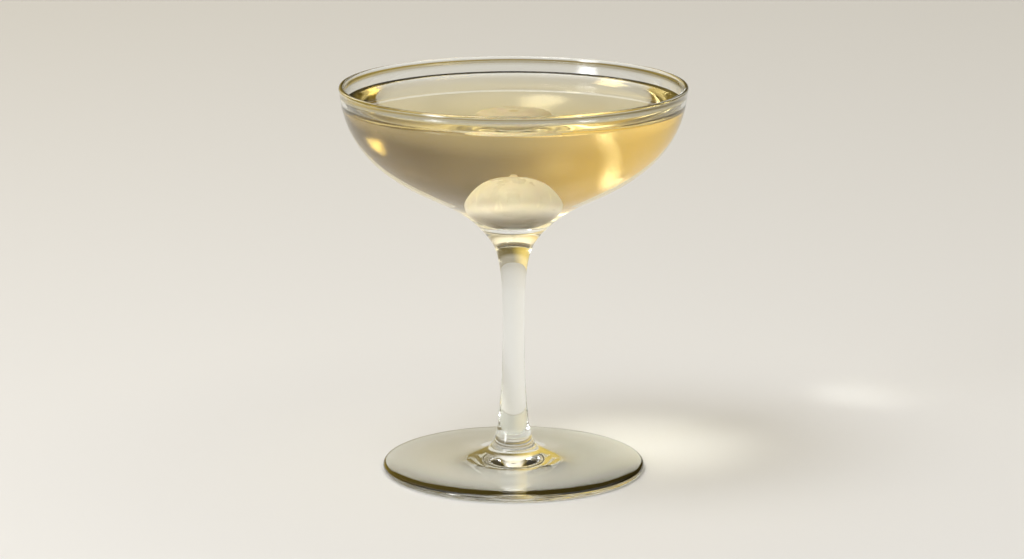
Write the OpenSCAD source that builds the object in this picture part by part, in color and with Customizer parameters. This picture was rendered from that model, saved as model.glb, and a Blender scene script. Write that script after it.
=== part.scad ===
// Cocktail in a stemmed coupe glass, with one cocktail onion at the bottom.
// Three pieces: the glass, the drink up to its level, and the onion that stands in the drink.
// The origin is the middle of the underside of the foot, with Z up the stem.
// Each piece is half of its section, turned once round the Z axis.

/* [Rim] */
// Overall height of the glass
glass_h = 104; // [90:1:130]
// Diameter over the rolled lip
rim_d = 92; // [84:1:112]
// Thickness of the wall under the lip
wall_t = 1.1; // [0.9:0.05:2]
// How far the rolled lip stands out past the wall
lip_out = 0.15; // [0.05:0.05:0.4]
// How far the rolled lip stands in past the wall
lip_in = 0.15; // [0.05:0.05:0.4]
// Slope of the wall in from upright at the lip
lip_draft = 4.5; // [0:0.5:10]

/* [Bowl] */
// Height of the bowl from the shoulder to the top
bowl_h = 28; // [24:1:40]
// Diameter at the shoulder, where the bowl turns in to the neck
shoulder_d = 50.8; // [42:0.2:60]
// Slope of the wall at the shoulder, up from level
shoulder_slope = 27; // [20:1:36]
// Thickness of the wall at the shoulder
shoulder_t = 1.5; // [1.1:0.1:3]
// Drop from the shoulder to the neck's throat
neck_drop = 13.6; // [11:0.1:16]
// Diameter of the neck at its throat
neck_d = 12.4; // [10:0.2:14]
// Slope of the neck at its throat, up from level
neck_slope = 53; // [45:1:62]
// Thickness of solid glass between the throat and the bottom of the bowl
bottom_t = 4.8; // [3:0.1:6]

/* [Stem] */
// Diameter of the stem at its waist
waist_d = 5.8; // [4.6:0.2:8]
// Height of the waist above the table
waist_z = 37.8; // [32:0.2:46]
// Diameter of the stem at the top of the flare
flare_d = 8; // [7:0.2:10]
// Height of the top of the flare above the table
flare_z = 13.5; // [11:0.5:18]

/* [Foot] */
// Diameter of the foot
foot_d = 70; // [58:1:84]
// Thickness of the rounded edge of the foot
foot_edge_t = 1.8; // [1.4:0.1:3]
// Diameter where the flare runs out into the foot
root_d = 16; // [14:0.5:20]
// Height of the top of the foot at that diameter
root_z = 4.9; // [4.2:0.1:6.5]
// Width of the flat ring that the glass rests on
rest_w = 3; // [2:0.5:5]
// Rise of the hollow under the foot
hollow_h = 1.3; // [0.6:0.1:1.8]

/* [Drink] */
// Depth of the drink's level below the top of the glass
level_drop = 5; // [3:0.5:16]

/* [Onion] */
// Width of the onion
onion_d = 20.2; // [14:0.2:25]
// Height of the onion from its root disc to its crown
onion_h = 21.7; // [14:0.1:26]
// Height of its widest place, as a share of that height
belly_share = 0.745; // [0.5:0.005:0.8]
// Diameter of the flat root disc
root_disc_d = 4; // [3:0.2:7]
// Diameter of the dry tip where it leaves the crown
tip_d = 2.4; // [1.6:0.2:4]
// Height of the dry tip above the crown
tip_h = 0.3; // [0.2:0.1:2]
// Gap between the onion and the glass that it stands on
onion_gap = 0.3; // [0.1:0.1:1]

/* [Hidden] */
$fn = 96;

// Steps along each curve of an outline
steps = 14;
// Slopes of the foot, down from level
flare_slope = 84;
root_slope = 20;
edge_slope = 4;

// Rolled lip: a round bead on the top of the wall
lip_r = (wall_t + lip_out + lip_in) / 2;
lip_centre = [rim_d / 2 - lip_r, glass_h - lip_r];
outer_turn = acos(1 - lip_out / lip_r);
inner_turn = acos(1 - lip_in / lip_r);

// Corners of the outer outline, from the lip down to the edge of the foot
outer_top = lip_centre + lip_r * [cos(outer_turn), -sin(outer_turn)];
shoulder = [shoulder_d / 2, glass_h - bowl_h];
throat = [neck_d / 2, shoulder.y - neck_drop];
waist = [waist_d / 2, waist_z];
flare = [flare_d / 2, flare_z];
root = [root_d / 2, root_z];
edge_top = [foot_d / 2 - foot_edge_t / 2, foot_edge_t];

// Corners of the inner outline, from the lip down to the bottom of the bowl
inner_top = lip_centre + lip_r * [-cos(inner_turn), -sin(inner_turn)];
inner_shoulder = shoulder + shoulder_t * [-sin(shoulder_slope), cos(shoulder_slope)];
bowl_bottom = [0, throat.y + bottom_t];

// Drink's level above the table
level_z = glass_h - level_drop;

// Direction down and in along a wall that slopes up from level by an angle
function in_down(slope) = [-cos(slope), -sin(slope)];

// Direction down and out along a surface that falls away from the axis by an angle
function out_down(slope) = [cos(slope), -sin(slope)];

// Smooth curve that leaves a along the unit vector va and reaches b along vb. The pulls pa and
// pb say how far it holds to them, as shares of the straight way from a to b.
function curve(a, va, pa, b, vb, pb) =
    let (reach = norm(b - a), a2 = a + va * pa * reach, b2 = b - vb * pb * reach)
    [for (i = [0:steps])
        let (t = i / steps, s = 1 - t)
        s * s * s * a + 3 * s * s * t * a2 + 3 * s * t * t * b2 + t * t * t * b];

// Points on an arc of radius r from angle a0 to a1
function arc(centre, r, a0, a1) =
    [for (i = [0:steps])
        let (a = a0 + (a1 - a0) * i / steps)
        centre + r * [cos(a), sin(a)]];

// An outline without its last point, so that the next curve starts there
function open_end(points) = [for (i = [0:len(points) - 2]) points[i]];

// Inner wall, from the lip down to the bottom of the bowl
function inner_wall() = concat(
    open_end(curve(inner_top, in_down(90 - lip_draft), 0.39,
                   inner_shoulder, in_down(shoulder_slope), 0.39)),
    curve(inner_shoulder, in_down(shoulder_slope), 0.40, bowl_bottom, [-1, 0], 0.40));

// Outer wall, from the lip down to the waist of the stem
function outer_wall() = concat(
    open_end(curve(outer_top, in_down(90 - lip_draft), 0.39,
                   shoulder, in_down(shoulder_slope), 0.39)),
    open_end(curve(shoulder, in_down(shoulder_slope), 0.35,
                   throat, in_down(neck_slope), 0.42)),
    open_end(curve(throat, in_down(neck_slope), 0.20, waist, [0, -1], 0.47)));

// Top of the foot, from the waist of the stem out to the edge
function foot_top() = concat(
    open_end(curve(waist, [0, -1], 0.45, flare, out_down(flare_slope), 0.23)),
    open_end(curve(flare, out_down(flare_slope), 0.50, root, out_down(root_slope), 0.25)),
    open_end(curve(root, out_down(root_slope), 0.20, edge_top, out_down(edge_slope), 0.45)));

// Rounded edge, flat ring and shallow hollow, in to the axis
function foot_under() =
    let (rest_out = edge_top.x, rest_in = rest_out - rest_w)
    concat(
        arc([rest_out, foot_edge_t / 2], foot_edge_t / 2, 90, -90),
        curve([rest_in, 0], [-1, 0], 0.35, [0, hollow_h], [-1, 0], 0.45));

// Lip, from the inner wall over the top to the outer wall
function lip() = arc(lip_centre, lip_r, 180 + inner_turn, -outer_turn);

// Side of the onion above its own root disc, from the disc up to the tip
function onion_side() =
    let (belly = [onion_d / 2, belly_share * onion_h])
    concat(
        open_end(curve([root_disc_d / 2, 0], [1, 0], 0.10, belly, [0, 1], 0.71)),
        curve(belly, [0, 1], 0.40, [tip_d / 2, onion_h], [-1, 0], 0.45));

// Lowest place where the onion clears the inner wall by its gap
onion_z = onion_gap + max([for (p = onion_side()) lookup(p.x, inner_wall()) - p.y]);

// Bowl, stem and foot, drawn as one piece of clear glass
module glass() {
    wall_up = [for (i = [len(inner_wall()) - 1:-1:1]) inner_wall()[i]];
    color([0.86, 0.90, 0.90, 0.35])
        rotate_extrude()
            polygon(concat(wall_up, open_end(lip()), outer_wall(), foot_top(), foot_under()));
}

// Onion standing on its root, with its dry tip up
module onion() {
    tip = [[tip_d / 4, onion_h + tip_h], [0, onion_h + tip_h]];
    color([0.91, 0.85, 0.70])
        translate([0, 0, onion_z])
            rotate_extrude()
                polygon(concat([[0, 0]], onion_side(), tip));
}

// Drink from the bottom of the bowl up to its level, cut round the onion
module drink() {
    color([0.80, 0.65, 0.35, 0.6])
        difference() {
            rotate_extrude()
                polygon(concat([[0, inner_top.y]], inner_wall()));
            translate([0, 0, level_z])
                cylinder(r = rim_d, h = glass_h);
            onion();
        }
}

glass();
drink();
onion();
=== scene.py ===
# Cocktail in a stemmed coupe glass: the glass, a pale gold drink and one cocktail onion.
# Everything is in metres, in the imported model's frame, with Z up the middle of the stem.
import math

import bmesh
import bpy
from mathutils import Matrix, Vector


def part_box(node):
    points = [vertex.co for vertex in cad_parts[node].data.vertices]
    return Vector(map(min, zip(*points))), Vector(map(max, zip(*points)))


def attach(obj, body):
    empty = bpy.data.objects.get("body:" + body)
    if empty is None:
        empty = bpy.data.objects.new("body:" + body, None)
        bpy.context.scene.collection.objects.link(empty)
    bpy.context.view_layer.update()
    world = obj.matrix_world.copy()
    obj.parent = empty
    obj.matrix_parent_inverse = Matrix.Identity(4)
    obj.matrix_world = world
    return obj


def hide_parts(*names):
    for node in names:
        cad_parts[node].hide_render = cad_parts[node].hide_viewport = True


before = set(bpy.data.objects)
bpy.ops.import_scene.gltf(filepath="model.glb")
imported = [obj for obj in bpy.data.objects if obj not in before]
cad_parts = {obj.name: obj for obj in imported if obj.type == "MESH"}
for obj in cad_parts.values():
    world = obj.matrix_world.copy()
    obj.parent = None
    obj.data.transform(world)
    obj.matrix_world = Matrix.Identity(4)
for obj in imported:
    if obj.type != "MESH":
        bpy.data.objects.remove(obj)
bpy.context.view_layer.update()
scene = bpy.context.scene

# Coupe glass
# One piece of clear soda-lime glass: a thin blown bowl on a drawn stem and a pressed foot.
# The lip is cut and fire-polished to a round bead, and the foot is slightly hollow underneath.
MM = 0.001
glass_low, glass_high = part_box("glass")
rim_r = min(glass_high.x, glass_high.y, -glass_low.x, -glass_low.y)
glass_h = glass_high.z
wall_t = 1.1 * MM
lip_proud = 0.15 * MM
lip_draft = 4.5
bowl_h = 28 * MM
shoulder_r = 25.4 * MM
shoulder_slope = 27
shoulder_t = 1.5 * MM
neck_drop = 13.6 * MM
neck_r = 6.2 * MM
neck_slope = 53
bottom_t = 4.8 * MM
waist_r = 2.9 * MM
waist_z = 37.8 * MM
flare_r = 4 * MM
flare_z = 13.5 * MM
foot_r = 35 * MM
foot_edge_t = 1.8 * MM
root_r = 8 * MM
root_z = 4.9 * MM
rest_w = 3 * MM
hollow_h = 1.3 * MM
flare_slope = 84
root_slope = 20
edge_slope = 4
glass_turns = 224


def in_down(slope):
    """Direction down and in along a wall that slopes up from level by an angle in degrees."""
    return Vector((-math.cos(math.radians(slope)), -math.sin(math.radians(slope))))


def out_down(slope):
    """Direction down and out along a surface that falls from the axis by an angle in degrees."""
    return Vector((math.cos(math.radians(slope)), -math.sin(math.radians(slope))))


def drawn_curve(start, start_way, start_pull, end, end_way, end_pull, steps=24):
    """Smooth line that leaves start one way and reaches end another. Each pull says how far it
    holds to its way, as a share of the straight distance."""
    reach = (end - start).length
    start_hold = start + start_way * start_pull * reach
    end_hold = end - end_way * end_pull * reach
    points = []
    for step in range(steps + 1):
        t = step / steps
        s = 1 - t
        points.append(
            start * s**3 + start_hold * 3 * s**2 * t + end_hold * 3 * s * t**2 + end * t**3
        )
    return points


def drawn_arc(centre, radius, first, last, steps=16):
    """Points on an arc between two angles in degrees."""
    points = []
    for step in range(steps + 1):
        angle = math.radians(first + (last - first) * step / steps)
        points.append(centre + Vector((math.cos(angle), math.sin(angle))) * radius)
    return points


def joined(*lines):
    """One outline from lines that end where the next one starts."""
    points = list(lines[0])
    for line in lines[1:]:
        first = 1 if (line[0] - points[-1]).length < 0.001 * MM else 0
        points.extend(line[first:])
    return points


LEVEL_IN = Vector((-1, 0))
STRAIGHT_DOWN = Vector((0, -1))

lip_r = wall_t / 2 + lip_proud
lip_centre = Vector((rim_r - lip_r, glass_h - lip_r))
lip_turn = math.degrees(math.acos(1 - lip_proud / lip_r))
outer_top = drawn_arc(lip_centre, lip_r, -lip_turn, -lip_turn)[0]
inner_top = drawn_arc(lip_centre, lip_r, 180 + lip_turn, 180 + lip_turn)[0]
shoulder = Vector((shoulder_r, glass_h - bowl_h))
throat = Vector((neck_r, shoulder.y - neck_drop))
waist = Vector((waist_r, waist_z))
flare = Vector((flare_r, flare_z))
root = Vector((root_r, root_z))
edge_top = Vector((foot_r - foot_edge_t / 2, foot_edge_t))
slant = math.radians(shoulder_slope)
inner_shoulder = shoulder + Vector((-math.sin(slant), math.cos(slant))) * shoulder_t
bowl_bottom = Vector((0, throat.y + bottom_t))

inner_wall = joined(
    drawn_curve(
        inner_top, in_down(90 - lip_draft), 0.39, inner_shoulder, in_down(shoulder_slope), 0.39
    ),
    drawn_curve(inner_shoulder, in_down(shoulder_slope), 0.40, bowl_bottom, LEVEL_IN, 0.40),
)
outer_wall = joined(
    drawn_curve(
        outer_top, in_down(90 - lip_draft), 0.39, shoulder, in_down(shoulder_slope), 0.39
    ),
    drawn_curve(shoulder, in_down(shoulder_slope), 0.35, throat, in_down(neck_slope), 0.42),
    drawn_curve(throat, in_down(neck_slope), 0.20, waist, STRAIGHT_DOWN, 0.47),
)
foot_top = joined(
    drawn_curve(waist, STRAIGHT_DOWN, 0.45, flare, out_down(flare_slope), 0.23),
    drawn_curve(flare, out_down(flare_slope), 0.50, root, out_down(root_slope), 0.25),
    drawn_curve(root, out_down(root_slope), 0.20, edge_top, out_down(edge_slope), 0.45),
)
edge_middle = Vector((edge_top.x, foot_edge_t / 2))
rest_in = Vector((edge_top.x - rest_w, 0))
foot_under = joined(
    drawn_arc(edge_middle, foot_edge_t / 2, 90, -90),
    drawn_curve(rest_in, LEVEL_IN, 0.35, Vector((0, hollow_h)), LEVEL_IN, 0.45),
)
glass_outline = joined(
    inner_wall[::-1],
    drawn_arc(lip_centre, lip_r, 180 + lip_turn, -lip_turn),
    outer_wall,
    foot_top,
    foot_under,
)


def add_node(tree, kind, fills=None, **settings):
    """A new node in a tree. fills gives its inputs, by name or number, as values or as the
    outputs that feed them."""
    node = tree.nodes.new(kind)
    for name, value in settings.items():
        setattr(node, name, value)
    for name, value in (fills or {}).items():
        if isinstance(value, bpy.types.NodeSocket):
            tree.links.new(value, node.inputs[name])
        else:
            node.inputs[name].default_value = value
    return node


def turning_tree():
    """Geometry nodes that turn an outline in the XZ plane once round the Z axis. Ribs run from
    pole to pole and only ever take material away."""
    tree = bpy.data.node_groups.new("turned_on_its_axis", "GeometryNodeTree")
    inputs = {
        "Outline": "NodeSocketGeometry",
        "Turns": "NodeSocketInt",
        "Rib Count": "NodeSocketFloat",
        "Rib Depth": "NodeSocketFloat",
        "Finish": "NodeSocketMaterial",
    }
    for name, kind in inputs.items():
        tree.interface.new_socket(name, in_out="INPUT", socket_type=kind)
    tree.interface.new_socket("Piece", in_out="OUTPUT", socket_type="NodeSocketGeometry")
    given = add_node(tree, "NodeGroupInput").outputs
    sized = add_node(
        tree, "GeometryNodeAttributeDomainSize", {"Geometry": given["Outline"]}, component="MESH"
    )
    count = sized.outputs["Point Count"]
    columns = add_node(tree, "ShaderNodeMath", {0: given["Turns"], 1: 1.0}, operation="ADD")
    sheet = add_node(
        tree, "GeometryNodeMeshGrid", {"Vertices X": columns.outputs[0], "Vertices Y": count}
    )
    index = add_node(tree, "GeometryNodeInputIndex").outputs[0]
    row = add_node(tree, "ShaderNodeMath", {0: index, 1: count}, operation="MODULO")
    ratio = add_node(tree, "ShaderNodeMath", {0: index, 1: count}, operation="DIVIDE")
    column = add_node(tree, "ShaderNodeMath", {0: ratio.outputs[0]}, operation="FLOOR")
    part = add_node(
        tree, "ShaderNodeMath", {0: column.outputs[0], 1: given["Turns"]}, operation="DIVIDE"
    )
    angle = add_node(
        tree, "ShaderNodeMath", {0: part.outputs[0], 1: math.tau}, operation="MULTIPLY"
    )
    place = add_node(tree, "GeometryNodeInputPosition")
    picked = add_node(
        tree,
        "GeometryNodeSampleIndex",
        {"Geometry": given["Outline"], "Value": place.outputs[0], "Index": row.outputs[0]},
        data_type="FLOAT_VECTOR",
        domain="POINT",
    )
    ribs = add_node(
        tree, "ShaderNodeMath", {0: angle.outputs[0], 1: given["Rib Count"]}, operation="MULTIPLY"
    )
    wave = add_node(tree, "ShaderNodeMath", {0: ribs.outputs[0]}, operation="COSINE")
    groove = add_node(
        tree, "ShaderNodeMath", {0: wave.outputs[0], 1: 0.5, 2: -0.5}, operation="MULTIPLY_ADD"
    )
    narrow = add_node(
        tree,
        "ShaderNodeMath",
        {0: groove.outputs[0], 1: given["Rib Depth"], 2: 1.0},
        operation="MULTIPLY_ADD",
    )
    girth = add_node(
        tree,
        "ShaderNodeCombineXYZ",
        {"X": narrow.outputs[0], "Y": narrow.outputs[0], "Z": 1.0},
    )
    ribbed = add_node(
        tree,
        "ShaderNodeVectorMath",
        {0: picked.outputs[0], 1: girth.outputs[0]},
        operation="MULTIPLY",
    )
    turned = add_node(
        tree,
        "ShaderNodeVectorRotate",
        {"Vector": ribbed.outputs[0], "Angle": angle.outputs[0]},
        rotation_type="Z_AXIS",
    )
    wrapped = add_node(
        tree,
        "GeometryNodeSetPosition",
        {"Geometry": sheet.outputs["Mesh"], "Position": turned.outputs[0]},
    )
    closed = add_node(
        tree,
        "GeometryNodeMergeByDistance",
        {"Geometry": wrapped.outputs[0], "Distance": 0.0005 * MM},
    )
    smooth = add_node(tree, "GeometryNodeSetShadeSmooth", {"Geometry": closed.outputs[0]})
    whole = add_node(tree, "GeometryNodeRealizeInstances", {"Geometry": smooth.outputs[0]})
    finished = add_node(
        tree,
        "GeometryNodeSetMaterial",
        {"Geometry": whole.outputs[0], "Material": given["Finish"]},
    )
    add_node(tree, "NodeGroupOutput", {"Piece": finished.outputs[0]})
    return tree


turning = turning_tree()


def turned_piece(name, outline, finish, turns, rib_count=0, rib_depth=0.0):
    """A plain closed mesh, turned from an outline by the tree above."""
    line = bpy.data.meshes.new(name + "_outline")
    points = [(point.x, 0, point.y) for point in outline]
    line.from_pydata(points, [(i, i + 1) for i in range(len(points) - 1)], [])
    blank = bpy.data.objects.new(name + "_blank", line)
    scene.collection.objects.link(blank)
    lathe = blank.modifiers.new("lathe", "NODES")
    lathe.node_group = turning
    sizes = {
        "Turns": turns,
        "Rib Count": float(rib_count),
        "Rib Depth": rib_depth,
        "Finish": finish,
    }
    for socket in turning.interface.items_tree:
        if socket.in_out == "INPUT" and socket.name in sizes:
            lathe[socket.identifier] = sizes[socket.name]
    graph = bpy.context.evaluated_depsgraph_get()
    mesh = bpy.data.meshes.new_from_object(blank.evaluated_get(graph), depsgraph=graph)
    blank.modifiers.remove(lathe)
    bpy.data.objects.remove(blank)
    bpy.data.meshes.remove(line)
    shell = bmesh.new()
    shell.from_mesh(mesh)
    bmesh.ops.recalc_face_normals(shell, faces=shell.faces)
    shell.to_mesh(mesh)
    shell.free()
    mesh.name = name
    piece = bpy.data.objects.new(name, mesh)
    scene.collection.objects.link(piece)
    return piece


def to_linear(hex_colour):
    """Linear red, green, blue and alpha from a screen colour such as "f2ead0"."""
    channels = []
    for start in (0, 2, 4):
        value = int(hex_colour[start : start + 2], 16) / 255
        channels.append(value / 12.92 if value <= 0.04045 else ((value + 0.055) / 1.055) ** 2.4)
    return (*channels, 1.0)


def new_finish(name):
    """A new material, with its tree and its surface shader."""
    finish = bpy.data.materials.new(name)
    finish.use_nodes = True
    return finish, finish.node_tree, finish.node_tree.nodes["Principled BSDF"]


# Fire-polished soda-lime glass: colourless and smooth all over, so that only the edges and the
# curves of the wall show
clear_glass, tree, surface = new_finish("fire_polished_soda_lime_glass")
surface.inputs["Base Color"].default_value = to_linear("fdfffe")
surface.inputs["Transmission Weight"].default_value = 1.0
surface.inputs["IOR"].default_value = 1.5
surface.inputs["Roughness"].default_value = 0.0

glass = turned_piece("coupe_glass", glass_outline, clear_glass, glass_turns)
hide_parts("glass")
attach(glass, "root")

# Drink
# Gin and dry vermouth, stirred clear, which fills the bowl to 5 mm under the rim.
# Its edge climbs the glass by 0.9 mm, and its side reaches just into the wall.
level_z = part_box("drink")[1].z
edge_climb = 0.9 * MM
edge_reach = 1.6 * MM
meniscus_w = 9 * MM
meniscus_steps = 24
side_end_drop = 0.2 * MM
into_wall = 0.06 * MM
drink_turns = 192


def wall_radius(height):
    """Radius of the inner wall at a height."""
    for above, below in zip(inner_wall, inner_wall[1:]):
        if below.y <= height <= above.y:
            share = (height - below.y) / (above.y - below.y)
            return below.x + (above.x - below.x) * share
    return 0.0


drink_side = []
for before, point, after in zip(inner_wall, inner_wall[1:], inner_wall[2:]):
    if point.y < level_z + edge_climb - side_end_drop:
        way = (after - before).normalized()
        drink_side.append(point + Vector((-way.y, way.x)) * into_wall)
drink_side.reverse()
contact = Vector((wall_radius(level_z + edge_climb), level_z + edge_climb))
meniscus = []
for step in range(meniscus_steps + 1):
    inward = meniscus_w * (step / meniscus_steps) ** 2
    climb = edge_climb * math.exp(-inward / edge_reach)
    meniscus.append(Vector((contact.x + into_wall - inward, level_z + climb)))
drink_outline = (
    [Vector((0, inner_wall[-1].y - into_wall))] + drink_side + meniscus + [Vector((0, level_z))]
)

# Clear spirit and vermouth, coloured by its depth alone, with the density given per metre. Its
# index makes a lens of the bowl, which draws the onion out wide and low.
gold_drink, tree, surface = new_finish("stirred_spirit_and_vermouth")
surface.inputs["Base Color"].default_value = to_linear("ffffff")
surface.inputs["Transmission Weight"].default_value = 1.0
surface.inputs["IOR"].default_value = 1.335
surface.inputs["Roughness"].default_value = 0.0
depth = add_node(
    tree, "ShaderNodeVolumeAbsorption", {"Color": to_linear("fadf27"), "Density": 13.5}
)
tree.links.new(depth.outputs["Volume"], tree.nodes["Material Output"].inputs["Volume"])

drink = turned_piece("martini_drink", drink_outline, gold_drink, drink_turns)
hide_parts("drink")
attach(drink, "root")

# Cocktail onion
# One whole pickled silverskin onion, peeled, with its root disc down and its dry tip up.
# It stands loose in the drink, a hair above the bottom of the bowl.
onion_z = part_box("onion")[0].z
onion_r = 10.1 * MM
onion_h = 21.7 * MM
belly_h = 0.745 * onion_h
root_disc_r = 2 * MM
root_hollow_h = 0.25 * MM
tip_r = 1.2 * MM
tip_h = 0.3 * MM
rib_count = 9
rib_depth = 0.004
onion_turns = 160
vein_w = 1.35 * MM
vein_l = 6.06 * MM
mottle_w = 6.67 * MM
root_tint_and_shade_h = 18 * MM
belly = Vector((onion_r, onion_z + belly_h))
disc_edge = Vector((root_disc_r, onion_z))
crown = Vector((tip_r, onion_z + onion_h))
onion_outline = joined(
    [
        Vector((0, onion_z + root_hollow_h)),
        Vector((root_disc_r / 2, onion_z + root_hollow_h * 0.4)),
    ],
    drawn_curve(disc_edge, -LEVEL_IN, 0.10, belly, -STRAIGHT_DOWN, 0.71, 40),
    drawn_curve(belly, -STRAIGHT_DOWN, 0.40, crown, LEVEL_IN, 0.45, 32),
    [
        Vector((tip_r * 0.62, crown.y + tip_h * 0.4)),
        Vector((tip_r * 0.5, crown.y + tip_h * 0.95)),
        Vector((0, crown.y + tip_h)),
    ],
)

# Moist flesh of a peeled pickled onion: waxy and pale, with whiter veins from pole to pole,
# darker olive towards the root, partly the root end's own tint and partly painted shade over
# the lower part, and a dry tan nub at each pole
onion_flesh, tree, surface = new_finish("peeled_pickled_onion_flesh")
place = add_node(tree, "ShaderNodeTexCoord").outputs["Object"]
apart = add_node(tree, "ShaderNodeSeparateXYZ", {0: place})
flat = add_node(tree, "ShaderNodeCombineXYZ", {"X": apart.outputs["X"], "Y": apart.outputs["Y"]})
bearing = add_node(tree, "ShaderNodeVectorMath", {0: flat.outputs[0]}, operation="NORMALIZE")
rise = add_node(
    tree,
    "ShaderNodeMath",
    {0: apart.outputs["Z"], 1: vein_w / (onion_r * vein_l)},
    operation="MULTIPLY",
)
lift = add_node(tree, "ShaderNodeCombineXYZ", {"Z": rise.outputs[0]})
along = add_node(
    tree, "ShaderNodeVectorMath", {0: bearing.outputs[0], 1: lift.outputs[0]}, operation="ADD"
)
vein_noise = add_node(
    tree,
    "ShaderNodeTexNoise",
    {"Vector": along.outputs[0], "Scale": onion_r / vein_w, "Detail": 2.0, "Roughness": 0.5},
)
veins = add_node(
    tree,
    "ShaderNodeMapRange",
    {"Value": vein_noise.outputs["Fac"], "From Min": 0.60, "From Max": 0.70},
    interpolation_type="SMOOTHSTEP",
)
mottle = add_node(
    tree,
    "ShaderNodeTexNoise",
    {"Vector": place, "Scale": 1 / mottle_w, "Detail": 3.0, "Roughness": 0.5},
)
mottled = add_node(
    tree,
    "ShaderNodeMapRange",
    {"Value": mottle.outputs["Fac"], "From Min": 0.35, "From Max": 0.65},
)
flesh = add_node(
    tree,
    "ShaderNodeMix",
    {"Factor": mottled.outputs[0], "A": to_linear("eae8e8"), "B": to_linear("f5f4f7")},
    data_type="RGBA",
)
veined = add_node(
    tree,
    "ShaderNodeMix",
    {"Factor": veins.outputs[0], "A": flesh.outputs[2], "B": to_linear("fffefb")},
    data_type="RGBA",
)
# Painted shade: the flesh darkens to olive brown from the root up over most of the onion's
# height, standing in for shade on its underside; only the tan right at the root end is its own
# colour.
root_tint_and_shade_mask = add_node(
    tree,
    "ShaderNodeMapRange",
    {
        "Value": apart.outputs["Z"],
        "From Min": onion_z + root_hollow_h * 2,
        "From Max": onion_z + root_tint_and_shade_h,
        "To Min": 1.0,
        "To Max": 0.0,
    },
    interpolation_type="SMOOTHSTEP",
)
root_tinted_and_shaded = add_node(
    tree,
    "ShaderNodeMix",
    {"Factor": root_tint_and_shade_mask.outputs[0], "A": veined.outputs[2], "B": to_linear("6c5a2c")},
    data_type="RGBA",
)
from_axis = add_node(tree, "ShaderNodeVectorMath", {0: flat.outputs[0]}, operation="LENGTH")
nub = add_node(
    tree,
    "ShaderNodeMapRange",
    {
        "Value": from_axis.outputs["Value"],
        "From Min": 0.7 * MM,
        "From Max": 1.9 * MM,
        "To Min": 0.6,
        "To Max": 0.0,
    },
    interpolation_type="SMOOTHSTEP",
)
skinned = add_node(
    tree,
    "ShaderNodeMix",
    {"Factor": nub.outputs[0], "A": root_tinted_and_shaded.outputs[2], "B": to_linear("d2bf92")},
    data_type="RGBA",
)
relief = add_node(
    tree,
    "ShaderNodeBump",
    {"Strength": 0.2, "Distance": 0.08 * MM, "Height": vein_noise.outputs["Fac"]},
)
moisture = add_node(
    tree,
    "ShaderNodeMapRange",
    {"Value": mottle.outputs["Fac"], "To Min": 0.2, "To Max": 0.38},
)
surface.inputs["Subsurface Weight"].default_value = 0.45
surface.inputs["Subsurface Radius"].default_value = (1.0, 0.75, 0.45)
surface.inputs["Subsurface Scale"].default_value = 2.0 * MM
tree.links.new(skinned.outputs[2], surface.inputs["Base Color"])
tree.links.new(moisture.outputs[0], surface.inputs["Roughness"])
tree.links.new(relief.outputs[0], surface.inputs["Normal"])

onion = turned_piece(
    "cocktail_onion", onion_outline, onion_flesh, onion_turns, rib_count, rib_depth
)
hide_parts("onion")
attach(onion, "root")

# Floor
# A plain pale board that the glass stands on, wide enough to run out of every view.
# It lies a hair below the foot, so that their faces don't share a plane.
floor_half = 6.0
floor_z = -0.05 * MM
sheet = bmesh.new()
bmesh.ops.create_grid(sheet, x_segments=8, y_segments=8, size=floor_half)
bmesh.ops.translate(sheet, verts=sheet.verts, vec=(0, 0, floor_z))
floor_mesh = bpy.data.meshes.new("pale_floor")
sheet.to_mesh(floor_mesh)
sheet.free()
floor = bpy.data.objects.new("pale_floor", floor_mesh)
scene.collection.objects.link(floor)

# Matt painted board: pale, a little cool, with a dull sheen
pale_board, tree, surface = new_finish("matt_painted_board")
surface.inputs["Base Color"].default_value = to_linear("dcdfe6")
surface.inputs["Roughness"].default_value = 0.55
surface.inputs["Specular IOR Level"].default_value = 0.3
floor_mesh.materials.append(pale_board)

# Studio light
# A tall soft box stands to the left in front, and a wide one hangs overhead. The room is white
# above and pale along the floor, and a soft gold glow behind the glass lights the drink.
def soft_light(name, place, width, height, watts, tint):
    """A soft box that faces the middle of the glass and fades out towards its edges."""
    lamp = bpy.data.lights.new(name, "AREA")
    lamp.shape = "RECTANGLE"
    lamp.size = width
    lamp.size_y = height
    lamp.energy = watts
    lamp.color = to_linear(tint)[:3]
    lamp.use_nodes = True
    tree = lamp.node_tree
    spot = add_node(tree, "ShaderNodeNewGeometry").outputs["Parametric"]
    from_middle = add_node(
        tree, "ShaderNodeVectorMath", {0: spot, 1: (0.5, 0.5, 0.0)}, operation="DISTANCE"
    )
    fade = add_node(
        tree,
        "ShaderNodeMapRange",
        {
            "Value": from_middle.outputs["Value"],
            "From Min": 0.12,
            "From Max": 0.5,
            "To Min": 2.3,
            "To Max": 0.0,
        },
        interpolation_type="SMOOTHSTEP",
    )
    tree.links.new(fade.outputs[0], tree.nodes["Emission"].inputs["Strength"])
    box = bpy.data.objects.new(name, lamp)
    box.location = place
    aim = Vector((0, 0, 80 * MM)) - Vector(place)
    box.rotation_euler = aim.to_track_quat("-Z", "Y").to_euler()
    scene.collection.objects.link(box)


soft_light("tall_left", (-0.96, -0.72, 0.35), 0.46, 0.76, 5.8, "fbfcff")
soft_light("overhead", (-0.4, -0.25, 1.1), 0.95, 0.95, 7.0, "ffffff")

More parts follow.
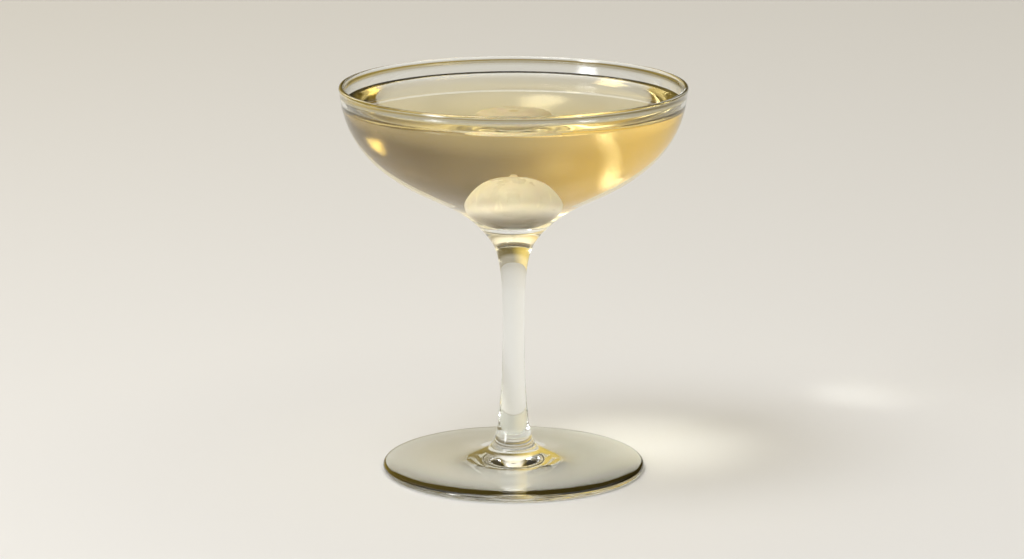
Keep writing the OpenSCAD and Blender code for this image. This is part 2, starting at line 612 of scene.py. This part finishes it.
room = bpy.data.worlds.new("pale_room")
room.use_nodes = True
tree = room.node_tree
way = add_node(tree, "ShaderNodeTexCoord").outputs["Generated"]
height = add_node(tree, "ShaderNodeSeparateXYZ", {0: way})
ceiling = add_node(
    tree,
    "ShaderNodeMapRange",
    {
        "Value": height.outputs["Z"],
        "From Min": 0.45,
        "From Max": 0.95,
        "To Max": 1.15,
    },
    interpolation_type="SMOOTHSTEP",
)
backdrop = add_node(
    tree,
    "ShaderNodeMapRange",
    {
        "Value": height.outputs["Z"],
        "From Min": 0.06,
        "From Max": 0.18,
        "To Min": 0.24,
        "To Max": 0.0,
    },
    interpolation_type="SMOOTHSTEP",
)
pale = add_node(tree, "ShaderNodeMath", {0: ceiling.outputs[0], 1: backdrop.outputs[0]})
room_light = add_node(
    tree,
    "ShaderNodeBackground",
    {"Color": to_linear("fffdfa"), "Strength": pale.outputs[0]},
)
glow_way = Vector((-0.62, 0.72, 0.32)).normalized()
facing = add_node(
    tree, "ShaderNodeVectorMath", {0: way, 1: tuple(glow_way)}, operation="DOT_PRODUCT"
)
glow = add_node(
    tree,
    "ShaderNodeMapRange",
    {
        "Value": facing.outputs["Value"],
        "From Min": 0.70,
        "From Max": 1.0,
        "To Min": 0.16,
        "To Max": 0.92,
    },
    interpolation_type="SMOOTHSTEP",
)
glow_light = add_node(
    tree,
    "ShaderNodeBackground",
    {"Color": to_linear("fbd96a"), "Strength": glow.outputs[0]},
)
both = add_node(
    tree, "ShaderNodeAddShader", {0: room_light.outputs[0], 1: glow_light.outputs[0]}
)
tree.links.new(both.outputs[0], tree.nodes["World Output"].inputs["Surface"])
scene.world = room

# Camera
# A long lens about a metre away. It looks down by 13 degrees, so that the rim and the drink's
# surface show as narrow ellipses.
lens = bpy.data.cameras.new("camera")
lens.sensor_width = 36
lens.lens = 131.64
lens.shift_x = -0.0015
lens.clip_start = 0.05
lens.clip_end = 50
camera = bpy.data.objects.new("camera", lens)
camera.location = (0, -0.9691, 0.2765)
camera.rotation_euler = (math.radians(90 - 13.07), 0, 0)
scene.collection.objects.link(camera)
scene.camera = camera

# Colours are shown as they are. Light bounces through every layer of glass and drink, and light
# that comes through the foot keeps its strength.
scene.view_settings.view_transform = "Standard"
scene.cycles.max_bounces = 24
scene.cycles.transmission_bounces = 24
scene.cycles.glossy_bounces = 8
scene.cycles.blur_glossy = 0.0
scene.cycles.sample_clamp_indirect = 0.0
